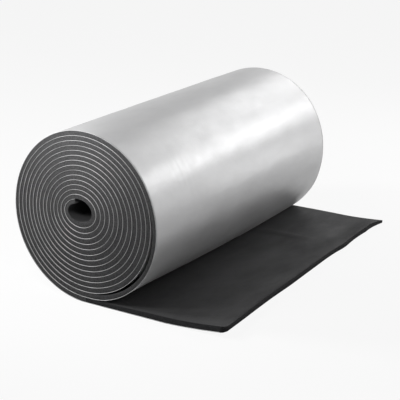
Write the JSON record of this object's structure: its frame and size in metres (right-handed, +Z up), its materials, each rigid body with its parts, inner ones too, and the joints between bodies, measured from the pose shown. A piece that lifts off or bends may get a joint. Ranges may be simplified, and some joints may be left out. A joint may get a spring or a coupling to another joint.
{
  "type": "insulation roll",
  "caption": "Roll of black flexible foam insulation with a silver foil facing, wound foil side out, its free end laid flat on the floor.",
  "frame": {"origin": "on the floor, under the middle of the box round the roll and its free end", "axes": "+X from the roll towards the free end, +Y along the roll away from its front end, +Z up"},
  "size_m": [0.6486, 1, 0.4605],
  "materials": {
    "foam": "matt black closed-cell foam with a fine skin",
    "foil": "satin silver laminate, softly wrinkled"
  },
  "bodies": {
    "root": {"foam_sheet": "foam", "foil_facing": "foil"}
  },
  "joints": []
}
